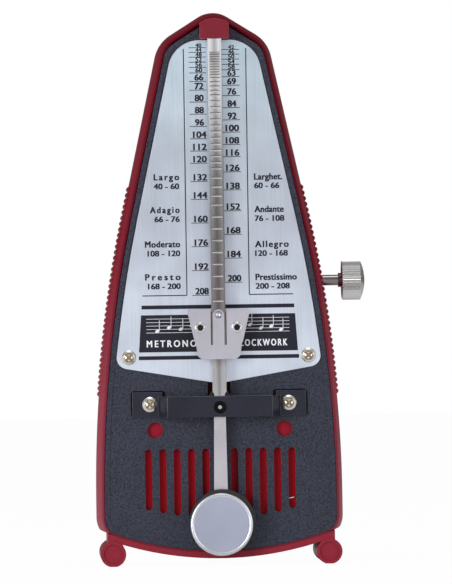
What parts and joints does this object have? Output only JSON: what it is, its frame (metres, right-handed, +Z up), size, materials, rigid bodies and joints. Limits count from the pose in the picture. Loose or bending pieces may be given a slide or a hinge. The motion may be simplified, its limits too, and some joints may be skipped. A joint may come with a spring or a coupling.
{
  "type": "clockwork metronome",
  "caption": "Small pyramid-shaped clockwork metronome with an open front, a sliding tempo weight on its pendulum rod, a round bob, a winding knob and a working gear train.",
  "frame": {"origin": "on the table, under the pendulum's axis, in the plane of the case's widest section", "axes": "+X to the right towards the winding knob, +Y from the front to the back, +Z up"},
  "size_m": [0.0785, 0.0403, 0.1598],
  "materials": {
    "case_plastic": "gloss",
    "panel_plastic": "fine grain",
    "scale_metal": "brushed upright",
    "bridge_enamel": "satin",
    "screw_metal": "nickelled",
    "rod_steel": "satin",
    "weight_metal": "cast",
    "bob_chrome": "polished rim",
    "bob_steel": "turned",
    "knob_nickel": "polished",
    "frame_steel": "ground",
    "movement_brass": "stamped"
  },
  "bodies": {
    "case": {"case_shell": "case_plastic", "base_tray": "case_plastic", "base_screws": "screw_metal", "inner_panel": "case_plastic", "front_plate": "panel_plastic", "scale_plate": "scale_metal", "scale_screws": "screw_metal", "pendulum_catch": "case_plastic", "pendulum_bridge": "bridge_enamel", "bridge_screws": "screw_metal", "front_bearing": "bridge_enamel", "lower_bar": "frame_steel", "upper_bar": "frame_steel", "bar_screws": "screw_metal", "left_side_plate": "movement_brass", "right_side_plate": "movement_brass", "pillars": "frame_steel", "pillar_screws": "screw_metal", "rear_cock": "movement_brass", "escape_cock": "movement_brass", "key_bush": "movement_brass", "click_screw": "screw_metal", "click_spring": "frame_steel"},
    "pendulum": {"pendulum_rod": "rod_steel", "pendulum_hub": "rod_steel", "hub_rivets": "screw_metal", "lower_arm": "rod_steel", "bob_core": "bob_steel", "bob_cover": "bob_chrome", "bob_rivet": "screw_metal", "pendulum_staff": "frame_steel", "pallets": "frame_steel"},
    "tempo_weight": {"weight_plate": "rod_steel", "weight_block": "weight_metal", "weight_rivets": "screw_metal"},
    "winding_key": {"winding_arbor": "frame_steel", "ratchet_wheel": "frame_steel", "winding_knob": "knob_nickel"},
    "mainspring_barrel": {"great_wheel": "movement_brass", "spring_barrel": "movement_brass", "barrel_cap": "movement_brass", "mainspring": "frame_steel"},
    "second_wheel_set": {"second_arbor": "frame_steel", "second_wheel": "movement_brass"},
    "third_wheel_set": {"third_arbor": "frame_steel", "third_wheel": "movement_brass"},
    "escape_wheel_set": {"escape_arbor": "frame_steel", "escape_wheel": "movement_brass"},
    "ratchet_click": {"click": "frame_steel"}
  },
  "joints": [
    {"name": "pendulum_swing", "type": "hinge", "parent": "case", "child": "pendulum", "pos_m": [0, -0.0182, 0.0458], "axis": [0, 1, 0], "range_deg": [-24, 24]},
    {"name": "tempo_slide", "type": "slide", "parent": "pendulum", "child": "tempo_weight", "axis": [0, 0, 1], "range_m": [0, 0.0755]},
    {"name": "key_turn", "type": "hinge", "parent": "case", "child": "winding_key", "pos_m": [0, -0.0006, 0.082], "axis": [1, 0, 0], "continuous": true},
    {"name": "barrel_turn", "type": "hinge", "parent": "case", "child": "mainspring_barrel", "pos_m": [0, -0.0006, 0.082], "axis": [1, 0, 0], "continuous": true},
    {"name": "second_turn", "type": "hinge", "parent": "case", "child": "second_wheel_set", "pos_m": [0, 0.0024, 0.06915], "axis": [1, 0, 0], "continuous": true},
    {"name": "third_turn", "type": "hinge", "parent": "case", "child": "third_wheel_set", "pos_m": [0, 0.00306, 0.05684], "axis": [1, 0, 0], "continuous": true},
    {"name": "escape_turn", "type": "hinge", "parent": "case", "child": "escape_wheel_set", "pos_m": [0, -0.0024, 0.0458], "axis": [1, 0, 0], "continuous": true},
    {"name": "click_lift", "type": "hinge", "parent": "case", "child": "ratchet_click", "pos_m": [0, 0.00429, 0.07618], "axis": [-1, 0, 0], "range_deg": [0, 12], "stiffness_Nm_per_rad": 0.002, "springref_deg": -17.19, "deforming": ["click_spring"]}
  ],
  "couplings": [
    {"joint": "second_turn", "follows": "barrel_turn", "ratio": -4},
    {"joint": "third_turn", "follows": "barrel_turn", "ratio": 12},
    {"joint": "escape_turn", "follows": "barrel_turn", "ratio": -36}
  ]
}
